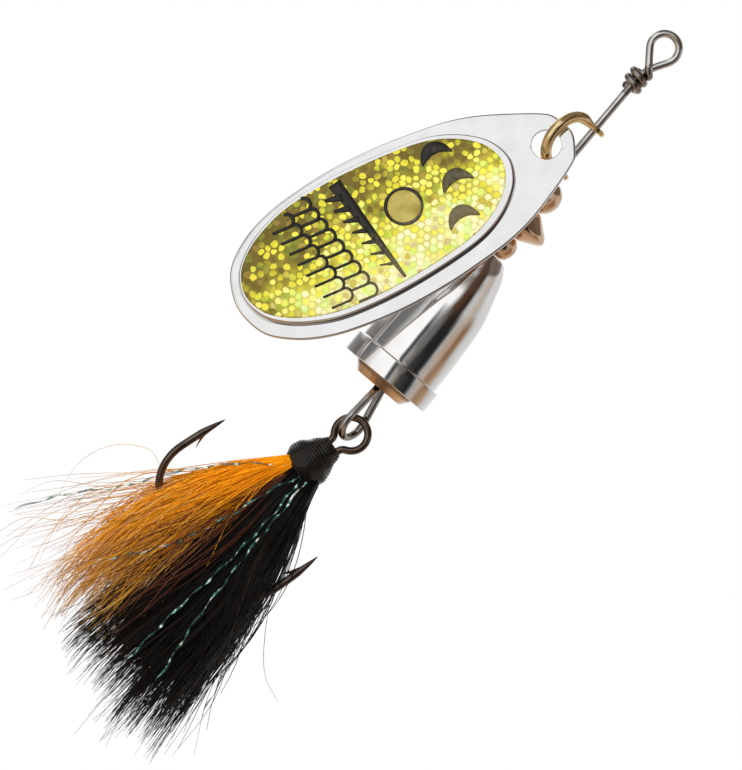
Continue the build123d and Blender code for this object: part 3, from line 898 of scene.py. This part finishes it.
def make_blade():
    """The pressed blade: flat border, dome wall, crown, hollow back and rounded edges."""
    insets = [np.linspace(INNER_INSET, 1.2, 24), np.linspace(1.05, 0.4, 8), np.linspace(0.32, 0.0, 17)]
    insets = np.concatenate(insets)
    front = [(dome_ring(d), face_height(d)) for d in insets]
    dome_foot = dome_ring(0.0)
    to_edge = EDGE_RING - dome_foot
    border = [(dome_foot + to_edge * share, BLADE_THICKNESS) for share in np.linspace(0.06, 0.70, 8)]
    border.append((drawn_in(EDGE_RING, 0.27), BLADE_THICKNESS))
    edge = []
    for angle in np.radians(np.linspace(90, -90, 13)):
        outline = drawn_in(EDGE_RING, 0.22 * (1 - math.cos(angle)))
        edge.append((outline, BLADE_THICKNESS / 2 * (1 + math.sin(angle))))
    back_border = [(ring, 0.0) for ring, _ in border[::-1]]
    step = BLADE_THICKNESS * 0.7
    kept = [d for d in insets[::-1] if d + step < INNER_INSET + 0.1]
    back = [(dome_ring(d + step), face_height(d) - BLADE_THICKNESS) for d in kept]
    points, faces = stacked(front + border + edge + back_border + back)
    made = piece("blade", (on_blade(points), faces), MATERIAL["blade"], "blade", "blade")
    cutter = hole_cutter()
    punch = made.modifiers.new("punch", "BOOLEAN")
    punch.object = cutter
    punch.operation = "DIFFERENCE"
    punch.solver = "EXACT"
    bpy.context.view_layer.update()
    applied(made)
    bpy.data.objects.remove(cutter)
    creased(made, 28)


def make_decal():
    """The film over the dome, a thin closed skin that follows it."""
    outlines = []
    for inset in np.concatenate([np.linspace(INNER_INSET, 1.6, 12), np.linspace(1.2, DECAL_INSET, 4)]):
        ring = dome_ring(inset) + DECAL_SHIFT * (1 - inset / DOME_WIDEST)
        outlines.append((ring, heights_at(ring)))
    top = [(ring, heights + DECAL_RISE) for ring, heights in outlines]
    bottom = [(ring, heights - 0.02) for ring, heights in outlines[::-1]]
    points, faces = stacked(top + bottom)
    shape = on_blade(points), faces
    piece("blade_decal", shape, MATERIAL["film"], "blade", "blade_decal", uv=points[:, :2])


INK_RISE = 0.035


def ribbon(route, widths):
    """A flat printed stroke that follows the dome, from (u, v) points and its widths."""
    route = np.asarray(route, float)
    across = sideways(unit(np.gradient(route, axis=0)))
    widths = np.broadcast_to(widths, len(route))[:, None]
    foot = DECAL_RISE - 0.01
    rows = []
    for share, rise in ((-0.5, foot), (-0.46, DECAL_RISE + INK_RISE), (0, DECAL_RISE + INK_RISE),
                        (0.46, DECAL_RISE + INK_RISE), (0.5, foot), (0, foot - 0.005)):
        place = route + across * widths * share
        rows.append(np.column_stack([place, heights_at(place) + rise]))
    rings = np.stack(rows, axis=1)
    return on_blade(rings.reshape(-1, 3)), ring_faces(len(route), len(rows))


EYE_U, EYE_V, EYE_RING = 15.5, 0.9, 1.82
GILL_MARKS = ((10.3, 4.2), (9.7, 0.7), (10.9, -2.9))
SCALE_DEPTH = 0.62
# Each row of scales: its first and last place, how many, and the length of their legs.
SCALE_ROWS = (((23.5, 5.85), (21.7, -5.0), 9, 1.62), ((25.75, 5.2), (24.1, -4.3), 8, 1.9))


def bar_strokes():
    """A tapering bar with seven barbs."""
    strokes = [ribbon(np.linspace((20.5, 6.35), (18.7, -5.5), 30), np.linspace(1.45, 0.32, 30))]
    for number in range(7):
        start = np.array([20.4 - 0.2 * number, 4.7 - 1.4 * number])
        barb_line = np.linspace(start, start + (1.75 - 0.09 * number, 0.45), 8)
        strokes.append(ribbon(barb_line, np.linspace(0.95, 0.30, 8) * (1 - 0.10 * number)))
    return strokes


def scale_strokes(start, end, count, leg):
    """A row of scales, each an arch with one leg, which thin along the row."""
    strokes = []
    places = np.linspace(start, end, count)
    pitch = np.linalg.norm(places[1] - places[0])
    arch = np.linspace(math.pi / 2, -math.pi / 2, 13)
    for number, (u, v) in enumerate(places):
        top = np.column_stack([u + SCALE_DEPTH * (1 - np.cos(arch)), v + pitch / 2 * np.sin(arch)])
        route = np.vstack([top, np.linspace(top[-1] + (0.25, 0.02), top[-1] + (leg, 0.15), 6)])
        thick = 0.43 - 0.14 * number / count
        strokes.append(ribbon(route, np.linspace(thick, thick * 0.8, len(route))))
    return strokes


def make_ink():
    """The print: an eye ring, three gill marks, a tapering bar with barbs and two rows of scales."""
    turn = np.linspace(0, 2 * math.pi, 49)
    ring = np.column_stack([EYE_U + EYE_RING * np.cos(turn), EYE_V + EYE_RING * np.sin(turn)])
    strokes = [ribbon(ring, 0.35 + 0.05 * np.sin(turn * 3))]
    for u, v in GILL_MARKS:
        t = np.linspace(-1, 1, 19)
        mark = np.column_stack([u + 1.65 * t, v + 1.1 * (0.6 - 1.1 * t**2)])
        strokes.append(ribbon(mark, 0.16 + 1.25 * (1 - t**2)))
    strokes += bar_strokes()
    for row in SCALE_ROWS:
        strokes += scale_strokes(*row)
    piece("decal_ink", merged(*strokes), MATERIAL["ink"], "blade", slot=SLOT_OF["blade_decal"])


def make_eye():
    """The gold disc inside the eye ring."""
    turn = full_turn(48)
    rows = []
    foot = [(1.74, -0.01), (1.74, 0.01)]
    for radius, lift in foot + [(radius, 0.015) for radius in (1.70, 1.2, 0.6, 0.03)]:
        places = np.column_stack([EYE_U + radius * np.cos(turn), EYE_V + radius * np.sin(turn)])
        rows.append(np.column_stack([places, heights_at(places) + DECAL_RISE + lift]))
    shape = on_blade(np.vstack(rows)), ring_faces(len(rows), len(turn))
    piece("decal_eye", shape, MATERIAL["gold"], "blade", slot=SLOT_OF["blade_decal"])


make_blade()
make_decal()
make_ink()
make_eye()

# ---------------- treble hook

SHANK, SHANK_LEFT = leaning(HOOK_LEAN)


def hook_outward(degrees):
    """The way one hook points, turned from the front towards the left."""
    a = math.radians(degrees)
    return OUT * math.cos(a) + SHANK_LEFT * math.sin(a)


def hook_route(degrees, start):
    """Shank, bend and point of one hook, from a distance down the shank."""
    outward = hook_outward(degrees)
    shank = [HOOK_EYE + SHANK * s + outward * SHANK_OFFSET for s in np.linspace(start, HOOK_BEND_START, 30)]
    centre = HOOK_EYE + SHANK * HOOK_BEND_START + outward * (SHANK_OFFSET + HOOK_BEND)
    bend = arc(centre, -outward, SHANK, HOOK_BEND, 3, 180, 50)
    far = HOOK_EYE + outward * (SHANK_OFFSET + 2 * HOOK_BEND)
    rise = []
    for s in np.linspace(HOOK_BEND_START - 0.2, HOOK_POINT, 24):
        rise.append(far + SHANK * s - outward * POINT_CURVE * (HOOK_BEND_START - s) ** 2)
    return np.vstack([shank, bend, rise])


def hook_radii(route, degrees):
    """The wire's radius along a hook, drawn to a needle point."""
    tip = np.linalg.norm(route - route[-1], axis=1)
    near = np.minimum(tip / TIP_LENGTH, 1)
    far_side = (route - HOOK_EYE) @ hook_outward(degrees) > SHANK_OFFSET + HOOK_BEND
    return np.where(far_side, TIP_RADIUS + (HOOK_WIRE / 2 - TIP_RADIUS) * near**0.75, HOOK_WIRE / 2)


def hook_wire(route, radii, rounds):
    """A wire of changing radius along a route whose bends are eased."""
    fine = spaced(np.column_stack([route, radii]), 0.14)
    return tube(relaxed(fine[:, :3], rounds), fine[:, 3])


def barb(degrees):
    """The barb: a sliver raised from the inside of the point."""
    outward = hook_outward(degrees)
    far = HOOK_EYE + outward * (SHANK_OFFSET + 2 * HOOK_BEND - 0.16)
    places = ((11.6, 0), (12.3, 0.28), (13.0, 0.62), (13.5, 0.95))
    route = spaced(smooth([far + SHANK * s - outward * rise for s, rise in places], 6), 0.1)
    return tube(route, np.linspace(0.30, 0.03, len(route)), 12, flat=0.7)


def make_hooks():
    """The double hook, bent from one wire round its eye, and the single one brazed to it."""
    left, right = (hook_route(degrees, DOUBLE_START) for degrees in (60, -60))
    eye = arc(HOOK_EYE, SHANK, SHANK_LEFT, HOOK_EYE_RADIUS, 26, 334, 60)
    route = np.vstack([left[::-1], eye, right])
    radii = [hook_radii(left, 60)[::-1], np.full(len(eye), HOOK_WIRE / 2), hook_radii(right, -60)]
    double = hook_wire(route, np.concatenate(radii), 5)
    piece("double_hook", merged(double, barb(60), barb(-60)), MATERIAL["bronze"], "treble", "double_hook")
    route = hook_route(180, SINGLE_START)
    single = hook_wire(route, hook_radii(route, 180), 0)
    piece("single_hook", merged(single, barb(180)), MATERIAL["bronze"], "treble", "single_hook")


make_hooks()

# ---------------- thread wrap

THREAD_PROFILE = [
    (2.10, 1.05), (2.8, 1.42), (3.7, 1.85), (4.5, 2.28), (5.2, 2.42), (5.9, 2.30), (6.5, 1.95), (6.9, 1.45),
]
THREAD_PITCH = 0.30
THREAD_RIDGE = 0.075


def make_thread():
    """A waisted collar of wound thread: its surface rises and falls with every turn."""
    curve = smooth(THREAD_PROFILE, 6)
    stations = np.arange(curve[0, 0], curve[-1, 0], THREAD_PITCH / 7)
    radii = np.interp(stations, curve[:, 0], curve[:, 1])
    angles = full_turn(96)
    round_shank = np.cos(angles)[:, None] * OUT + np.sin(angles)[:, None] * SHANK_LEFT
    rings = []
    for s, r in zip(stations, radii):
        turn = s / THREAD_PITCH - angles / (2 * math.pi)
        uneven = 0.03 * np.sin(3 * angles + 5 * s) + 0.02 * np.sin(7 * angles - 3 * s)
        radius = r + THREAD_RIDGE * np.abs(np.cos(math.pi * turn)) + uneven
        rings.append(HOOK_EYE + SHANK * s + radius[:, None] * round_shank)
    return np.vstack(rings), ring_faces(len(rings), len(angles))


piece("thread_wrap", make_thread(), MATERIAL["thread"], "treble", "thread_wrap")

# ---------------- hair
# Stations down each bundle: (height, left x, right x, front y, back y)

ORANGE = [
    (-11.8, -2.4, -1.1, -1.4, 0.6), (-13.5, -3.8, -1.6, -2.2, 0.8), (-16, -6.1, -2.3, -3.2, 1.0),
    (-20, -8.8, -3.1, -4.6, 1.0), (-24, -10.9, -3.7, -5.2, 1.0), (-28, -12.0, -4.3, -5.3, 0.9),
    (-32, -12.5, -4.7, -5.2, 0.8), (-36, -12.6, -5.0, -4.9, 0.7), (-39.5, -12.2, -5.4, -4.5, 0.6),
]
BLACK = [
    (-12.0, -1.3, 1.6, -1.6, 1.5), (-14, -1.9, 2.1, -2.4, 1.8), (-16, -2.6, 2.7, -3.2, 2.0),
    (-20, -3.4, 3.9, -4.5, 2.6), (-24, -4.4, 4.7, -5.2, 3.1), (-30, -6.2, 5.6, -5.4, 3.3),
    (-36, -8.2, 5.9, -5.1, 3.2), (-40, -9.0, 6.2, -4.8, 3.0), (-45, -9.0, 6.4, -4.3, 2.6),
]
BROWN = [
    (-12.4, -2.2, -0.6, -0.9, 2.0), (-16, -4.2, -1.5, -1.8, 3.0), (-20, -6.4, -2.2, -3.0, 3.6),
    (-26, -9.2, -2.9, -3.9, 4.4), (-31, -11.0, -3.6, -4.2, 5.0), (-36, -12.0, -4.4, -4.0, 5.4),
]
BACK = [
    (-12.6, -0.8, 1.8, 0.6, 2.0), (-16, -1.0, 2.4, 1.4, 3.6), (-20, -1.2, 3.2, 2.2, 4.8),
    (-26, -1.4, 4.4, 2.8, 6.2), (-32, -1.6, 5.2, 3.2, 7.0), (-40, -1.8, 5.4, 3.2, 7.2),
]
HAIR_POINTS = 14
STRAY_POINTS = 22
HAIR_SIDES = 3


def grown(dice, table, locks, reach, slant, clump, wander, crimp):
    """One hair's route: out of its place in the root, towards its lock, then off on its own."""
    a, b = dice.uniform(-1, 1), dice.uniform(-1, 1)
    while a**4 + b**4 > 1:
        a, b = dice.uniform(-1, 1), dice.uniform(-1, 1)
    lock = min(locks, key=lambda spot: (spot[0] - a) ** 2 + (spot[1] - b) ** 2)
    low, high = table[-1, 0], table[0, 0]
    length = min(1.06, reach * lock[2] * (1 - slant * (1 - lock[0]) / 2))
    t = np.linspace(0, length, HAIR_POINTS)
    heights = high + (low - high) * t
    left, right, front, back = (np.interp(-heights, -table[:, 0], table[:, k]) for k in (1, 2, 3, 4))
    hold = clump * np.clip((t - 0.12) / 0.6, 0, 1)
    loose = t**1.6
    across = a + (lock[0] - a) * hold + (lock[3] + dice.gauss(0, wander)) * loose
    deep = b + (lock[1] - b) * hold + (lock[4] + dice.gauss(0, wander) * 0.6) * loose
    phase, speed = dice.uniform(0, 6.28), dice.uniform(4, 11)
    swing = crimp * np.clip(t * 2, 0, 1)
    x = (left + right) / 2 + across * (right - left) / 2 + swing * np.sin(phase + speed * t)
    y = (front + back) / 2 + deep * (back - front) / 2 + swing * np.cos(phase * 1.7 + speed * 0.8 * t)
    return np.column_stack([x, y, heights + 0.4 * loose * dice.gauss(0, 1)])


def make_hair(name, stations, count, thickness, reach, shades, seed, material, clump=0.6, wander=0.12,
              crimp=0.22, strays=0.05, tip=0.15, slant=0.0, short=0.6, per_lock=15, extra=(), stray_tone=0.0):
    """Tapering hairs that fan out between the stations' sides, gather into locks and part at their tips."""
    dice = random.Random(seed)
    table = np.array(stations)
    locks = []
    for _ in range(max(6, count // per_lock)):
        spot = dice.uniform(-0.95, 0.95), dice.uniform(-0.95, 0.95)
        locks.append((*spot, dice.uniform(0.84, 1.0), dice.gauss(0, 0.09), dice.gauss(0, 0.07)))
    meshes = []
    tones = []
    for number in range(count + len(extra)):
        loose = number >= count
        if loose:
            route = spaced(smooth(extra[number - count], 12), 0.1)
            route = route[np.linspace(0, len(route) - 1, STRAY_POINTS).astype(int)]
        else:
            wild = 3.0 if dice.random() < strays else 1.0
            length = reach[0] + (reach[1] - reach[0]) * dice.random() ** short
            route = grown(dice, table, locks, length, slant, clump / wild, wander * wild, crimp * wild)
        along = np.linspace(0, 1, len(route))
        size = thickness * dice.uniform(0.7, 1.25) * (0.75 if loose else 1.0)
        taper = np.interp(along, [0, 0.15, 0.7, 1], [0.9, 1, 0.85, 0.35])
        meshes.append(tube(route, size * taper, HAIR_SIDES))
        tone = dice.gauss(*shades) + loose * stray_tone + np.interp(along, [0, 0.55, 1], [-0.08, 0.0, tip])
        tones.append(np.repeat(tone, HAIR_SIDES))
    piece(name, merged(*meshes), material, "treble", name, shades=np.concatenate(tones))


ORANGE_STRAYS = [
    [(-7.5, -2.5, -18), (-10.9, -3.0, -21.0), (-13.4, -3.2, -20.4), (-16.5, -3.2, -22.4),
     (-18.0, -3.2, -26.0), (-17.4, -3.2, -30.0)],
    [(-6.0, -2.4, -16.5), (-11.5, -3.0, -21.5), (-15.8, -3.2, -26.5), (-20.0, -3.2, -34.0)],
    [(-7.0, -2.4, -18.0), (-12.5, -3.0, -23.5), (-16.5, -3.2, -29.0), (-18.8, -3.2, -36.2)],
    [(-8.0, -2.6, -20.0), (-13.8, -3.2, -27.0), (-17.2, -3.2, -32.5), (-18.0, -3.2, -39.5)],
    [(-9.0, -2.6, -22.0), (-14.6, -3.2, -26.2), (-18.6, -3.2, -28.8), (-20.2, -3.0, -31.5)],
    [(-9.5, -2.6, -24.0), (-15.2, -3.2, -31.0), (-18.6, -3.2, -33.6), (-20.0, -3.0, -37.6)],
    [(-8.5, -2.6, -22.0), (-13.0, -3.2, -29.0), (-17.6, -3.2, -34.5), (-19.4, -3.0, -41.0)],
]
BLACK_STRAYS = [
    [(2.0, -1.0, -18), (5.0, -1.4, -27), (6.6, -1.4, -35), (9.5, -1.0, -41.0)],
    [(2.4, -1.0, -18), (5.8, -1.2, -25), (9.4, -1.2, -30), (12.6, -1.0, -31.6)],
    [(1.5, -1.0, -20), (3.6, -1.6, -31), (4.4, -1.6, -40), (5.0, -1.2, -45.0)],
    [(0.8, -1.0, -20), (1.8, -1.6, -32), (1.2, -1.6, -41), (2.2, -1.2, -46.0)],
    [(2.8, -0.8, -18), (5.4, -1.0, -29), (7.6, -1.0, -36), (7.9, -1.0, -42.5)],
]


FAN_BOW = 0.9
FAN_WAVER = 0.16


def fan(seed, count, start, low, high, front):
    """Loose, slightly bowed hairs from a root point to places along a line between two ends."""
    dice = random.Random(seed)
    start, low, high = np.array([start, low, high], float)
    routes = []
    for _ in range(count):
        share = dice.random()
        run = dice.uniform(0.75, 1.05) * (low + (high - low) * share - start)
        bow = dice.gauss(0, FAN_BOW)
        route = []
        for t in (0, 0.25, 0.5, 0.75, 1):
            x = start[0] + run[0] * t + bow * math.sin(math.pi * t) + dice.gauss(0, FAN_WAVER) * t
            z = start[2] + run[2] * t + dice.gauss(0, FAN_WAVER) * t
            y = start[1] + (front - start[1]) * min(1.0, 1.9 * t) + dice.gauss(0, 0.2) * t
            route.append((x, y, z))
        routes.append(route)
    return routes


ORANGE_STRAYS += fan(31, 42, (-3.0, -1.8, -14.5), (-20.5, -3, -33.5), (-14.0, -3, -40.5), -3.9)
ORANGE_STRAYS += fan(32, 12, (-4.5, -2.2, -15.5), (-20.8, -3, -30.5), (-18.0, -3, -35.5), -3.4)
BROWN_STRAYS = fan(33, 44, (-1.4, -1.9, -13.4), (-14.0, -4, -36.0), (-4.0, -4, -37.0), -5.9)
BLACK_STRAYS += fan(34, 50, (0.8, -1.2, -15.0), (-2.0, -3, -46.5), (7.0, -3, -41.5), -3.2)
BLACK_STRAYS += fan(35, 130, (1.3, -1.2, -13.5), (3.0, -3, -33.5), (6.9, -3, -31.5), -5.6)
make_hair("orange_hair", ORANGE, 2150, 0.056, (0.42, 1.0), (0.44, 0.10), 3, MATERIAL["orange"],
          clump=0.34, wander=0.30, crimp=0.50, strays=0.15, tip=0.40, slant=-0.06, short=1.7,
          extra=ORANGE_STRAYS, stray_tone=0.36)
make_hair("black_hair", BLACK, 2150, 0.066, (0.64, 1.04), (0.45, 0.20), 5, MATERIAL["black"],
          clump=0.88, wander=0.10, crimp=0.26, strays=0.08, tip=0.12, slant=0.13,
          per_lock=24, extra=BLACK_STRAYS)
make_hair("brown_hair", BROWN, 300, 0.055, (0.60, 1.0), (0.45, 0.22), 7, MATERIAL["brown"],
          clump=0.4, wander=0.25, crimp=0.30, strays=0.12, tip=0.25, extra=BROWN_STRAYS)
make_hair("back_hair", BACK, 900, 0.065, (0.70, 1.0), (0.42, 0.20), 9, MATERIAL["black"])

# ---------------- flash strands

FLASH_HALF_WIDTH = 0.125
FLASH_STEP = 0.12
FLASH_ROUTES = [
    [(0.5, -2.4, -12.9), (0.6, -3.8, -16.5), (0.6, -5.0, -20.8), (0.8, -5.6, -25.5), (1.0, -5.7, -30.5),
     (1.6, -5.4, -35.0), (1.9, -4.8, -38.6)],
    [(0.0, -2.4, -13.0), (0.1, -4.2, -18.0), (-0.3, -5.4, -24.0), (-0.8, -5.7, -28.0), (-1.3, -5.6, -32.5),
     (-1.8, -5.1, -38.8)],
    [(-0.2, -2.3, -12.9), (-1.5, -3.4, -15.5), (-3.0, -4.8, -20.0), (-4.9, -5.5, -24.7), (-6.5, -5.6, -27.3),
     (-8.3, -5.4, -29.7), (-10.3, -4.8, -32.2)],
    [(-2.0, -1.9, -12.9), (-6.0, -3.2, -16.0), (-10.3, -4.2, -20.8), (-13.0, -4.5, -24.8),
     (-16.8, -4.2, -29.0), (-20.0, -3.4, -33.6)],
    [(1.2, -1.6, -13.0), (3.2, -2.0, -17.0), (4.9, -2.0, -22.0), (5.6, -1.9, -27.0), (6.4, -1.6, -32.0),
     (7.6, -1.2, -37.5)],
]


def make_flash():
    """Flat tinsel strands, twisted and a little crinkled."""
    for number, points in enumerate(FLASH_ROUTES, 1):
        phase = random.Random(20 + number).uniform(0, 6.28)
        route = spaced(smooth(points, 10), FLASH_STEP)
        count = np.arange(len(route))
        along = count * FLASH_STEP
        route[:, 0] += 0.10 * np.sin(along * 1.9 + phase)
        route[:, 1] += 0.10 * np.cos(along * 2.3 + phase)
        turn = phase + along * 1.5 + 0.9 * np.sin(along * 0.9 + phase)
        taper = np.interp(count / len(route), [0, 0.9, 1], [1, 1, 0.5])
        shape = tube(route, FLASH_HALF_WIDTH * taper, 8, flat=0.22, turn=turn)
        name = f"flash_strand_{number}"
        piece(name, shape, MATERIAL["flash"], "treble", name)


make_flash()
